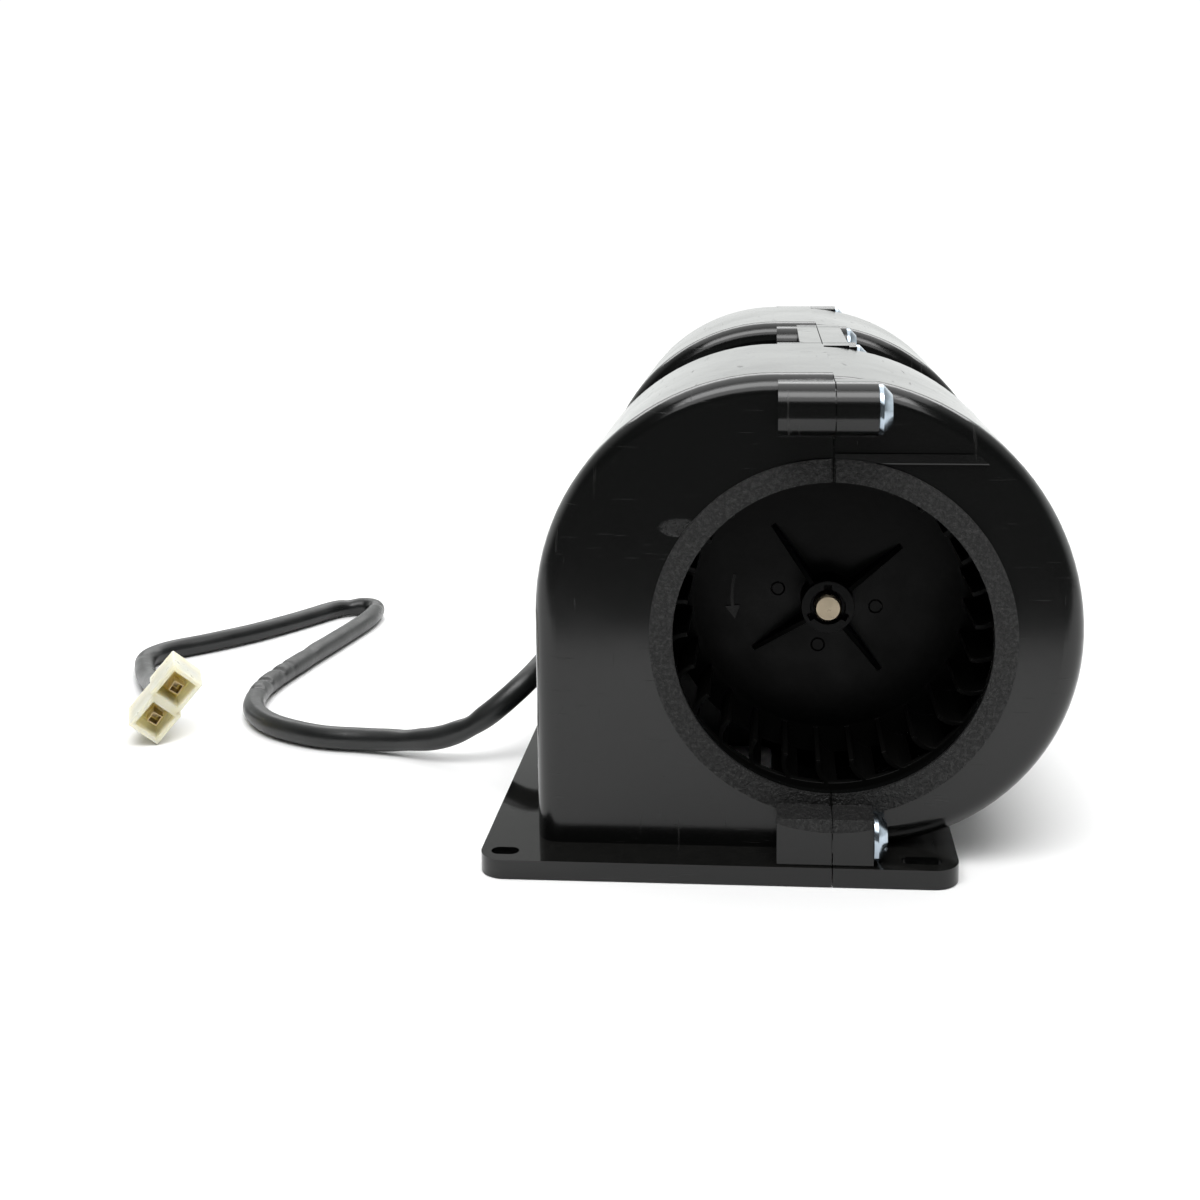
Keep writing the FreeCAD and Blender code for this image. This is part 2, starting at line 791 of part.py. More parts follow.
def field_magnets():
    """Two ferrite arcs, above and below the armature."""
    length = 2 * size("magnet_half")
    inner = size("magnet_inner")
    outer = inner + size("magnet_thick")
    half = size("magnet_half_angle")
    over = size("over")
    arcs = []
    for middle in ABOVE_AND_BELOW:
        sector = Part.makeCylinder(outer, length, Vector(0, 0, 0), Vector(0, 0, 1), 2 * half)
        inner_rod = Part.makeCylinder(inner, length + 2 * over, Vector(0, 0, -over))
        arc = sector.cut(inner_rod)
        arc.rotate(Vector(0, 0, 0), Vector(0, 0, 1), middle - half)
        arc.rotate(Vector(0, 0, 0), Vector(1, 0, 0), 90)
        arc.translate(from_axis(0, 0) + Vector(0, size("magnet_half"), 0))
        arcs.append(arc)
    return node(feature("magnets", Part.makeCompound(arcs)), "field_magnets")


def slot_bars(name, width, floor, top, start, end):
    """Radial bars round the rotor axis, one for each armature slot."""
    bar = Part.makeBox(top - floor, end - start, width, Vector(floor, start, -width / 2))
    return feature(name, Part.makeCompound(round_axis(bar, int(size("core_slots")), 0)))


def armature():
    """Slotted core, windings through the slots with an end turn at each side, and the commutator."""
    over = size("over")
    core = tube("core_blank", "core_radius", "shaft_radius + bore_fit", "core_front", "core_back")
    slots = slot_bars("core_slots_cut", size("core_slot_width"), size("core_slot_floor"),
                      size("core_radius") + over, size("core_front") - over, size("core_back") + over)
    node(cut("core", core, slots), "armature_core")
    front = tube("coil_front", "coil_radius", "coil_bore", "core_front - coil_gap - coil_length",
                 "core_front - coil_gap")
    back = tube("coil_back", "coil_radius", "coil_bore", "core_back + coil_gap",
                "core_back + coil_gap + coil_length")
    gap = size("bar_gap")
    bars = slot_bars("coil_bars", size("core_slot_width") - gap, size("core_slot_floor") + gap,
                     size("coil_radius") - gap, size("core_front") - over, size("core_back") + over)
    node(fuse("coils", [front, back, bars]), "armature_windings")
    drum = tube("commutator_drum", "commutator_radius", "shaft_radius + bore_fit", "commutator_front",
                "commutator_back")
    rim = size("commutator_radius")
    gaps = slot_bars("commutator_gaps", size("segment_gap"), rim - size("segment_depth"), rim + over,
                     size("commutator_front") - over, size("commutator_back") - size("segment_end"))
    node(cut("commutator_cut", drum, gaps), "commutator")


def brushes():
    """Holder plate with two guides, and a brush and spring in each guide."""
    wide = size("brush_width")
    base = size("commutator_radius") + size("brush_contact")
    tip = base + size("brush_length")
    seat = size("spring_seat")
    along = size("brush_place")
    slack = size("brush_clearance")
    wall = size("guide_wall")
    over = size("over")
    brush = Part.makeBox(tip - base, wide, wide, Vector(base, along - wide / 2, -wide / 2))
    outside = wide + 2 * wall
    guide = Part.makeBox(seat - base - 2 * over, outside, outside,
                         Vector(base + 2 * over, along - outside / 2, -outside / 2))
    inside = wide + 2 * slack
    channel = Part.makeBox(seat - base, inside, inside, Vector(base + over, along - inside / 2, -inside / 2))
    outward = Vector(1, 0, 0)
    coil = Part.makeCylinder(size("spring_radius"), seat - tip - 2 * slack, Vector(tip + slack, along, 0),
                             outward)
    bore = Part.makeCylinder(size("spring_bore"), seat - tip + 2 * over, Vector(tip - over, along, 0),
                             outward)
    sets = {}
    for label, shape in (
        ("brush", brush),
        ("guide", guide),
        ("channel", channel),
        ("spring", coil.cut(bore)),
    ):
        shapes = Part.makeCompound(round_axis(shape, len(ABOVE_AND_BELOW), ABOVE_AND_BELOW[0]))
        sets[label] = feature(f"{label}_pair", shapes)
    plate = tube("holder_plate", "can_radius - can_wall - seat", "holder_bore", "holder_front", "holder_back")
    ties = []
    for label, sign in (("left", "-"), ("right", "+")):
        ties.append(
            rod(f"holder_{label}_tie", "tie_radius + tie_clearance", "2 * bell_depth",
                f"axis_across {sign} tie_circle", "holder_front - bell_depth", "axis_height", ALONG_Y)
        )
    cutters = fuse("holder_cutters", [sets["channel"], *ties])
    node(cut("holder", fuse("holder_solid", [plate, sets["guide"]]), cutters), "brush_holder")
    node(sets["brush"], "carbon_brushes")
    node(sets["spring"], "brush_springs")


def tie_screws():
    """Two long screws that clamp the end bells to the can."""
    screws = []
    for label, sign in (("left", "-"), ("right", "+")):
        across = f"axis_across {sign} tie_circle"
        stem = rod(f"tie_{label}_stem", "tie_radius", "2 * tie_half + over + tie_head_height", across,
                   "-1 * tie_half - over", "axis_height", ALONG_Y)
        head = rod(f"tie_{label}_head", "tie_head", "tie_head_height", across,
                   "-1 * tie_half - tie_head_height - seat", "axis_height", ALONG_Y)
        nut = rod(f"tie_{label}_nut", "tie_head", "tie_head_height", across, "tie_half + seat",
                  "axis_height", ALONG_Y)
        screws.append(fuse(f"tie_{label}", [stem, head, nut]))
    group = doc.addObject("Part::Compound", "tie_group")
    group.Links = screws
    return node(group, "motor_tie_screws")


def motor():
    """The double-shaft motor in its rubber rings."""
    node(turned("shaft", [
        ("0", "-1 * shaft_half"),
        ("shaft_radius - shaft_chamfer", "-1 * shaft_half"),
        ("shaft_radius", "-1 * shaft_half + shaft_chamfer"),
        ("shaft_radius", "shaft_half - shaft_chamfer"),
        ("shaft_radius - shaft_chamfer", "shaft_half"),
        ("0", "shaft_half"),
    ]), "motor_shaft")
    can_with_port()
    armature()
    field_magnets()
    brushes()
    tie_screws()
    for label, side in (("front", "-1"), ("rear", "1")):
        end_bell(f"{label}_end_bell", side)
        node(tube(f"{label}_bush", "bearing_radius", "shaft_radius + shaft_fit", f"{side} * bearing_near",
                  f"{side} * bearing_far"), f"{label}_bearing")
        node(tube(f"{label}_mount", "cradle_inner - seat", "can_radius + seat",
                  f"{side} * cradle_place - 0.5 * ring_width", f"{side} * cradle_place + 0.5 * ring_width"),
             f"{label}_motor_ring")
        node(tube(f"{label}_washer", "washer_radius", "shaft_radius + bore_fit", f"{side} * washer_near",
                  f"{side} * ( washer_near + washer_thick )"), f"{label}_shaft_washer")


# ---------------------------------------------------------------- lead


def lead_grommet():
    """Tapered strain relief: a plug in the can, a flange on it and a cone towards the lead."""
    wall = size("can_wall")
    rest = size("can_radius") + size("seat")
    thick = size("grommet_flange_thick")
    plug = Part.makeCylinder(size("grommet_plug"), wall + size("over"),
                             Vector(0, 0, size("can_radius") - wall))
    rim = Part.makeCylinder(size("grommet_flange"), thick, Vector(0, 0, rest))
    taper = Part.makeCone(size("grommet_root"), size("grommet_tip"), size("grommet_length") - thick,
                          Vector(0, 0, rest + thick))
    solid = plug.fuse([rim, taper]).removeSplitter()
    solid.Placement = Placement(lead_start(0), grommet_rotation())
    return node(feature("grommet", solid), "lead_grommet")


def rounded_route(points):
    """One wire of straight runs joined by tangent arcs, and the arcs' radii."""
    edges = []
    radii = []
    here = points[0]
    for before, corner, after in zip(points, points[1:], points[2:]):
        towards = (before - corner).normalize()
        onwards = (after - corner).normalize()
        turn = math.pi - towards.getAngle(onwards)
        trim = ARC_SHARE * min((before - corner).Length, (after - corner).Length)
        radius = trim / math.tan(turn / 2)
        start = corner + towards * trim
        end = corner + onwards * trim
        bisector = (towards + onwards).normalize()
        middle = corner + bisector * (radius / math.cos(turn / 2) - radius)
        edges.append(Part.LineSegment(here, start).toShape())
        edges.append(Part.Arc(start, middle, end).toShape())
        radii.append(radius)
        here = end
    edges.append(Part.LineSegment(here, points[-1]).toShape())
    return Part.Wire(edges), radii


def lead():
    """The sleeve along its route, with its radii and volume printed for checking."""
    start = lead_start(size("can_radius") + size("seat") + size("grommet_length"))
    points = [start] + [Vector(*p) for p in LEAD_ROUTE]
    wire, radii = rounded_route(points)
    first = points[1] - points[0]
    section = Part.Wire(Part.Circle(points[0], first, size("lead_diameter") / 2).toShape())
    pipe = wire.makePipeShell([section], True, False)
    expected = math.pi * (size("lead_diameter") / 2) ** 2 * wire.Length
    print("lead radii", [round(r, 1) for r in radii])
    print("lead runs", [round((b - a).Length, 1) for a, b in zip(points, points[1:])])
    print("lead length", round(wire.Length, 1), "volume ratio", round(pipe.Volume / expected, 4))
    print("lead start", [round(v, 2) for v in points[0]])
    node(feature("sleeve", pipe), "lead_sleeve")
    return points[-1]


def connector_frame():
    """The connector's placement: long way along local X, mating face at local Z 0 looking along +Z."""
    yaw = math.radians(size("connector_yaw"))
    facing = Vector(math.sin(yaw), -math.cos(yaw), 0)
    level = Rotation(facing.cross(Vector(0, 0, 1)) * -1, Vector(0, 0, 1), facing, "ZXY")
    tilt = Rotation(Vector(0, 0, 1), size("connector_tilt"))
    return Placement(Vector(*CONNECTOR_FACE), level.multiply(tilt))


def connector(lead_end):
    """Two square sockets side by side, a contact in each and the two wires from the sleeve."""
    wide = size("connector_width")
    tall = size("connector_height")
    deep = size("connector_depth")
    wall = size("connector_wall")
    floor = size("connector_socket")
    blade = size("terminal_width")
    blocks = []
    sockets = []
    contacts = []
    for sign in (-1, 1):
        centre = Vector(sign * wide / 2, sign * size("connector_offset") / 2, 0)
        corner = centre - Vector(wide / 2, tall / 2, 0)
        blocks.append(Part.makeBox(wide, tall, deep, corner - Vector(0, 0, deep)))
        inner = corner + Vector(wall, wall, -floor)
        sockets.append(Part.makeBox(wide - 2 * wall, tall - 2 * wall, floor + size("over"), inner))
        root = centre - Vector(blade / 2, blade / 2, floor)
        contacts.append(Part.makeBox(blade, blade, size("terminal_length"), root))
    housing = blocks[0].fuse(blocks[1]).removeSplitter().cut(Part.makeCompound(sockets))
    frame = connector_frame()
    housing.Placement = frame
    pins = Part.makeCompound(contacts)
    pins.Placement = frame
    node(feature("connector", housing), "connector_housing")
    node(feature("contacts", pins), "connector_terminals")
    wires = []
    for sign in (-1, 1):
        end = frame.multVec(Vector(sign * size("wire_spread"), 0, -deep))
        start = lead_end + frame.Rotation.multVec(Vector(sign * size("wire_start_spread"), 0, 0))
        run = end - start
        wires.append(Part.makeCylinder(size("wire_radius"), run.Length, start, run))
    node(feature("wires", Part.makeCompound(wires)), "lead_wires")


casing_half("left_casing", 0.0, True)
casing_half("right_casing", size("seam_step"), False)
casing_screws()
wheel("front_wheel", "-1 * wheel_place", "-1")
wheel("rear_wheel", "wheel_place", "1")
motor()
lead_grommet()
connector(lead())
doc.recompute()

for obj in doc.Objects:
    if "Invalid" in obj.State or "Error" in obj.State:
        raise RuntimeError(f"{obj.Label} failed: {obj.State}")
for obj in NODES:
    if obj.Shape.isNull() or not obj.Shape.isValid() or not obj.Shape.Solids:
        raise RuntimeError(f"{obj.Label} has no valid shape")

os.makedirs("parts", exist_ok=True)
for obj in NODES:
    obj.Shape.exportStep(f"parts/{obj.Label}.step")
    print(obj.Label, "solids", len(obj.Shape.Solids), "volume", round(obj.Shape.Volume))
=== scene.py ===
import json
import math

import bmesh
import bpy
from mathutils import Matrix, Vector


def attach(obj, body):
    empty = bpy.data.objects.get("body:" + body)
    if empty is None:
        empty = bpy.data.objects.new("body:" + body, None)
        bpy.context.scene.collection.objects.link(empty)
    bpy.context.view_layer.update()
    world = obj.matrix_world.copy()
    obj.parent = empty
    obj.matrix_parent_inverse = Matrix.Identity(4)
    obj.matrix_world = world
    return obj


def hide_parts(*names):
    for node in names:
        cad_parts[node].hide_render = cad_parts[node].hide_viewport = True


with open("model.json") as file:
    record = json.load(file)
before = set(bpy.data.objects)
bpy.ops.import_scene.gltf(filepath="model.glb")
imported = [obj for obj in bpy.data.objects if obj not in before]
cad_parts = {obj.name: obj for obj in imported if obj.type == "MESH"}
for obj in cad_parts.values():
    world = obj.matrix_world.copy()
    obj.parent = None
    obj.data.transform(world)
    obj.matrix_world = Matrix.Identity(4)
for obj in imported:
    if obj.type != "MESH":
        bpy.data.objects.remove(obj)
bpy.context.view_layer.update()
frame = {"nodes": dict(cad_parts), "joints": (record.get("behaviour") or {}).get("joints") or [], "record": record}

MM = 0.001
TURN = 2 * math.pi
NODES = frame["nodes"]
AXIS = Vector(frame["joints"][0]["pos_m"])
RANGE_SOCKETS = ("From Min", "From Max", "To Min", "To Max")

# ---------------------------------------------------------------- camera

CAMERA_PLACE = (0.0146, -0.5155, 0.1802)
CAMERA_TURN = (82.98, 0.31, 3.91)
CAMERA_LENS = 44.28
CAMERA_SENSOR = 36.0
CAMERA_SHIFT = (-0.06, -0.18)


def camera():
    """The photograph's viewpoint, worked out from the flange, the inlet and the casing's outline."""
    data = bpy.data.cameras.new("camera")
    data.lens = CAMERA_LENS
    data.sensor_width = CAMERA_SENSOR
    data.shift_x, data.shift_y = CAMERA_SHIFT
    data.clip_start = 0.01
    data.clip_end = 50.0
    eye = bpy.data.objects.new("camera", data)
    eye.location = CAMERA_PLACE
    eye.rotation_euler = [math.radians(a) for a in CAMERA_TURN]
    bpy.context.scene.collection.objects.link(eye)
    bpy.context.scene.camera = eye


# ---------------------------------------------------------------- node helpers


class Shader:
    """A Principled material, with short calls for the texture nodes that feed it."""

    def __init__(self, name, color, roughness, metallic=0.0, **sockets):
        self.material = bpy.data.materials.new(name)
        self.material.use_nodes = True
        self.tree = self.material.node_tree
        self.bsdf = self.tree.nodes["Principled BSDF"]
        self.bsdf.inputs["Base Color"].default_value = (*color, 1.0)
        self.bsdf.inputs["Roughness"].default_value = roughness
        self.bsdf.inputs["Metallic"].default_value = metallic
        for socket, value in sockets.items():
            self.bsdf.inputs[socket.replace("_", " ")].default_value = value
        self.coords = self.tree.nodes.new("ShaderNodeTexCoord").outputs["Object"]

    def link(self, output, socket):
        self.tree.links.new(output, socket)

    def fill(self, node, values):
        """Links or sets a node's first inputs."""
        for socket, value in zip(node.inputs, values):
            if isinstance(value, bpy.types.NodeSocket):
                self.link(value, socket)
            else:
                socket.default_value = value

    def math(self, operation, *values, clamp=False):
        node = self.tree.nodes.new("ShaderNodeMath")
        node.operation = operation
        node.use_clamp = clamp
        self.fill(node, values)
        return node.outputs[0]

    def vector_math(self, operation, *values):
        node = self.tree.nodes.new("ShaderNodeVectorMath")
        node.operation = operation
        self.fill(node, values)
        return node.outputs["Value" if operation == "LENGTH" else "Vector"]

    def stretched(self, scale):
        """Object coordinates stretched along the axes."""
        node = self.tree.nodes.new("ShaderNodeMapping")
        node.inputs["Scale"].default_value = scale
        self.link(self.coords, node.inputs["Vector"])
        return node.outputs["Vector"]

    def noise(self, scale, detail=2.0, rough=0.5, vector=None):
        node = self.tree.nodes.new("ShaderNodeTexNoise")
        node.inputs["Scale"].default_value = scale
        node.inputs["Detail"].default_value = detail
        node.inputs["Roughness"].default_value = rough
        self.link(vector or self.coords, node.inputs["Vector"])
        return node.outputs["Fac"]

    def cells(self, scale):
        """Distance from the middle of the nearest of many scattered cells."""
        node = self.tree.nodes.new("ShaderNodeTexVoronoi")
        node.inputs["Scale"].default_value = scale
        self.link(self.coords, node.inputs["Vector"])
        return node.outputs["Distance"]

    def spread(self, value, low, high, to_low=0.0, to_high=1.0):
        """Maps low..high to to_low..to_high, clamped."""
        node = self.tree.nodes.new("ShaderNodeMapRange")
        for socket, number in zip(RANGE_SOCKETS, (low, high, to_low, to_high)):
            node.inputs[socket].default_value = number
        self.link(value, node.inputs["Value"])
        return node.outputs["Result"]

    def inside(self, value, low, high):
        """1 where low < value < high, 0 elsewhere."""
        above = self.math("GREATER_THAN", value, low)
        return self.math("MULTIPLY", above, self.math("LESS_THAN", value, high))

    def between(self, factor, first, second):
        """Mixes two colours by factor; a plain number is a shade of grey."""
        node = self.tree.nodes.new("ShaderNodeMix")
        node.data_type = "RGBA"
        self.link(factor, node.inputs["Factor"])
        for socket, value in ((node.inputs[6], first), (node.inputs[7], second)):
            if isinstance(value, bpy.types.NodeSocket):
                self.link(value, socket)
            elif isinstance(value, tuple):
                socket.default_value = (*value, 1.0)
            else:
                socket.default_value = (value, value, value, 1.0)
        return node.outputs[2]

    def color(self, output):
        self.link(output, self.bsdf.inputs["Base Color"])

    def mottled(self, first, second, scale, detail=3.0, rough=0.5, low=0.3, high=0.7):
        """Colour wandering between two."""
        self.color(self.between(self.spread(self.noise(scale, detail, rough), low, high), first, second))

    def roughness(self, output):
        self.link(output, self.bsdf.inputs["Roughness"])

    def uneven_gloss(self, low, high, scale, detail=3.0, rough=0.5):
        """Roughness wandering between two values."""
        self.roughness(self.spread(self.noise(scale, detail, rough), 0.3, 0.7, low, high))

    def bump(self, height, distance, strength=1.0):
        """Adds a bump on top of those already there; distance in metres."""
        node = self.tree.nodes.new("ShaderNodeBump")
        node.inputs["Distance"].default_value = distance
        node.inputs["Strength"].default_value = strength
        self.link(height, node.inputs["Height"])
        normal = self.bsdf.inputs["Normal"]
        if normal.is_linked:
            self.link(normal.links[0].from_socket, node.inputs["Normal"])
        self.link(node.outputs["Normal"], normal)

    def place(self):
        """The object coordinates, as sockets X, Y and Z; Z is the height above the flange's underside."""
        split = self.tree.nodes.new("ShaderNodeSeparateXYZ")
        self.link(self.coords, split.inputs[0])
        return split.outputs

    def spot(self, centre, scale, radius):
        """A patch, 1 up to 0.6 of the radius and 0 beyond the radius; scale squeezes it along the axes."""
        away = self.vector_math("SUBTRACT", self.coords, centre)
        squeezed = self.vector_math("MULTIPLY", away, scale)
        return self.spread(self.vector_math("LENGTH", squeezed), 0.6 * radius, radius, 1.0, 0.0)

    def from_axis(self):
        """Distance from the rotor axis, and place along it."""
        place = self.place()
        across = self.math("SUBTRACT", place["X"], AXIS.x)
        up = self.math("SUBTRACT", place["Z"], AXIS.z)
        squares = self.math("ADD", self.math("MULTIPLY", across, across), self.math("MULTIPLY", up, up))
        return self.math("SQRT", squares), place["Y"]


# ---------------------------------------------------------------- the casing's material

CASING_BLACK = (0.0030, 0.0032, 0.0031)
DUST_GREY = (0.03, 0.03, 0.029)
FILM_GREY = (0.022, 0.0215, 0.020)
SCRATCH_GREY = (0.014, 0.014, 0.0135)
SCUFF_GREY = 0.006
COLLAR_DARK, COLLAR_LIGHT = 0.003, (0.017, 0.017, 0.0165)

COLLAR_INNER, COLLAR_OUTER = 42.2 * MM, 49.25 * MM
INNER_FACE, INNER_WALL = 36.9 * MM, 38.05 * MM
OUTER_WALL = 129.95 * MM
PLATE_TOP_LOW, PLATE_TOP_HIGH = 5.1 * MM, 5.4 * MM
PLATE_GLOSS = 0.06
SCUFF_PLACE, SCUFF_SQUEEZE, SCUFF_RADIUS = (-10.2 * MM, -130.0 * MM, 94.2 * MM), (0.7, 1.0, 1.5), 4.2 * MM


def collar_area(m):
    """1 on the collars round the inlets, outer and inner, and 0 elsewhere."""
    radius, along = m.from_axis()
    distance = m.math("ABSOLUTE", along)
    on_inner = m.inside(distance, INNER_FACE, INNER_WALL)
    on_face = m.math("MAXIMUM", m.math("GREATER_THAN", distance, OUTER_WALL), on_inner)
    return m.math("MULTIPLY", m.inside(radius, COLLAR_INNER, COLLAR_OUTER), on_face)


def scratches(m):
    """Fine handling scratches, some level and some upright."""
    level = m.noise(60.0, 3.0, 0.6, m.stretched((1.0, 1.0, 26.0)))
    upright = m.noise(44.0, 3.0, 0.6, m.stretched((18.0, 1.0, 1.2)))
    return m.math("MAXIMUM", m.spread(level, 0.665, 0.70), m.spread(upright, 0.685, 0.72))


def dust_specks(m):
    """Sparse specks of dust, in patches."""
    patches = m.spread(m.noise(35.0), 0.5, 0.62)
    return m.math("MULTIPLY", m.spread(m.cells(420.0), 0.0, 0.055, 1.0, 0.0), patches)


def plate_film(m, plate):
    """A dusty film with specks on the flange's top."""
    patches = m.spread(m.noise(60.0, 3.0, 0.7), 0.40, 0.60, 0.15, 1.0)
    specks = m.math("MULTIPLY", m.spread(m.cells(1100.0), 0.0, 0.22, 1.0, 0.0), patches)
    cloud = m.math("MULTIPLY", m.noise(300.0, 5.0, 0.8), 0.45)
    return m.math("MULTIPLY", plate, m.math("ADD", cloud, specks, clamp=True))


def scuffed_patch(m):
    """The torn-edged scuff beside the front collar."""
    torn = m.spread(m.noise(700.0, 4.0, 0.8), 0.40, 0.55, 0.3, 1.0)
    return m.math("MULTIPLY", m.spot(SCUFF_PLACE, SCUFF_SQUEEZE, SCUFF_RADIUS), torn)


def casing_plastic():
    """Glossy moulded black plastic, with grained matte collars, handling scratches, a scuff and dust."""
    m = Shader("casing_plastic", CASING_BLACK, 0.09, IOR=1.46)
    collar = collar_area(m)
    marks = scratches(m)
    dust = dust_specks(m)
    scuff = scuffed_patch(m)
    plate = m.inside(m.place()["Z"], PLATE_TOP_LOW, PLATE_TOP_HIGH)
    grain = m.noise(900.0, 3.0, 0.7)
    peaks = m.spread(grain, 0.46, 0.64)

    gloss = m.spread(m.noise(22.0, 4.0, 0.65), 0.35, 0.75, 0.13, 0.20)
    for area, dulling in ((marks, 0.12), (dust, 0.3), (scuff, 0.22)):
        gloss = m.math("ADD", gloss, m.math("MULTIPLY", area, dulling))
    gloss = m.between(plate, gloss, PLATE_GLOSS)
    m.roughness(m.between(collar, gloss, m.between(peaks, 0.62, 0.38)))

    shade = CASING_BLACK
    for area, tint in ((dust, DUST_GREY), (plate_film(m, plate), FILM_GREY),
                       (m.math("MULTIPLY", marks, 0.6), SCRATCH_GREY), (scuff, SCUFF_GREY)):
        shade = m.between(area, shade, tint)
    m.color(m.between(collar, shade, m.between(peaks, COLLAR_DARK, COLLAR_LIGHT)))

    m.bump(m.noise(12.0, 1.0), 0.0003, 0.35)
    m.bump(marks, 0.00001, 0.5)
    m.bump(m.math("MULTIPLY", grain, collar), 0.0010)
    m.bump(m.math("MULTIPLY", m.noise(800.0, 3.0, 0.7), scuff), 0.0003)
    return m.material


# ---------------------------------------------------------------- other materials

# The blades get a paler colour than the disc of the same plastic: a painted highlight standing in for the light
# their tips catch.
WHEEL_BLACK, BLADE_PAINTED_HIGHLIGHT = (0.0010, 0.0011, 0.0011), (0.0034, 0.0034, 0.0032)
BLADE_CIRCLE = 39.5 * MM
# How close fine ridges stand, in radians per metre.
WHEEL_RINGS, TURNED_LINES, WIRE_RIDGES = 9000.0, 22000.0, 9000.0


def satin_plastic():
    """Satin black wheel plastic with fine turned rings; the blades beyond the disc are painted paler, a painted
    highlight for the light their tips catch.
    """
    m = Shader("wheel_plastic", WHEEL_BLACK, 0.36, IOR=1.24)
    m.uneven_gloss(0.30, 0.46, 70.0)
    m.bump(m.noise(900.0), 0.00006, 0.5)
    radius, _ = m.from_axis()
    # Painted highlight: beyond BLADE_CIRCLE the blades are coloured paler than the disc.
    m.color(m.between(m.math("GREATER_THAN", radius, BLADE_CIRCLE), WHEEL_BLACK, BLADE_PAINTED_HIGHLIGHT))
    m.bump(m.math("SINE", m.math("MULTIPLY", radius, WHEEL_RINGS)), 0.000006, 0.6)
    return m.material


def marks_gloss():
    """The wheel's moulding marks, polished where the mould was engraved."""
    m = Shader("wheel_marks", (0.0006, 0.0006, 0.0006), 0.2, IOR=1.28)
    m.uneven_gloss(0.16, 0.28, 200.0)
    return m.material


def turned_steel(name, color, low, high):
    """Ground or turned metal with fine lines round the rotor axis."""
    m = Shader(name, color, (low + high) / 2, 1.0)
    m.uneven_gloss(low, high, 260.0, 4.0)
    m.bump(m.noise(300.0, 3.0, 0.6, m.stretched((1.0, 22.0, 1.0))), 0.00004, 0.6)
    radius, _ = m.from_axis()
    m.bump(m.math("SINE", m.math("MULTIPLY", radius, TURNED_LINES)), 0.000008, 0.7)
    return m.material


def plated(name, color, low, high):
    """Plated metal: slight orange peel and stains in the gloss."""
    m = Shader(name, color, (low + high) / 2, 1.0)
    m.uneven_gloss(low, high, 180.0, 4.0, 0.6)
    m.mottled(color, tuple(0.72 * c for c in color), 90.0, low=0.35)
    m.bump(m.noise(700.0), 0.00004, 0.5)
    return m.material


def cast_metal():
    """Die-cast aluminium, matte and lightly pitted."""
    m = Shader("bell_casting", (0.42, 0.42, 0.43), 0.5, 1.0)
    m.uneven_gloss(0.38, 0.62, 120.0, 5.0, 0.7)
    m.bump(m.noise(1100.0, 4.0, 0.7), 0.00022, 0.6)
    return m.material


def soft_black(name, color, low, high, grain, depth):
    """Rubber or vinyl: uneven sheen and a fine grain."""
    m = Shader(name, color, (low + high) / 2)
    m.uneven_gloss(low, high, 90.0, 4.0, 0.6)
    m.mottled(color, tuple(1.5 * c for c in color), 140.0)
    m.bump(m.noise(grain, 3.0, 0.6), depth, 0.7)
    return m.material


def nylon():
    """Natural nylon: ivory, slightly translucent, glossy on the outside."""
    m = Shader("nylon", (0.72, 0.69, 0.56), 0.4, Subsurface_Weight=0.9, Subsurface_Scale=0.014,
               Subsurface_Radius=(1.0, 0.86, 0.55))
    m.mottled((0.63, 0.605, 0.48), (0.585, 0.54, 0.385), 120.0)
    m.uneven_gloss(0.26, 0.44, 300.0)
    m.bump(m.noise(700.0), 0.00005, 0.5)
    return m.material


def speckled(name, base, other, roughness, scale, metallic=0.0):
    """Two-tone fine grain, for ferrite, carbon, board, bronze and laminations."""
    m = Shader(name, base, roughness, metallic)
    m.mottled(base, other, scale, 4.0, 0.7, 0.4, 0.6)
    m.uneven_gloss(roughness - 0.1, roughness + 0.1, scale / 2)
    m.bump(m.noise(scale, 3.0), 0.00006, 0.6)
    return m.material


def wound_copper():
    """Enamelled wire: fine ridges along the rotor."""
    m = Shader("copper_wire", (0.42, 0.15, 0.06), 0.3, 0.8)
    ridges = [m.math("SINE", m.math("MULTIPLY", measure, WIRE_RIDGES)) for measure in m.from_axis()]
    m.bump(m.math("ADD", *ridges), 0.00012, 0.8)
    m.mottled((0.45, 0.17, 0.07), (0.28, 0.09, 0.04), 220.0)
    return m.material


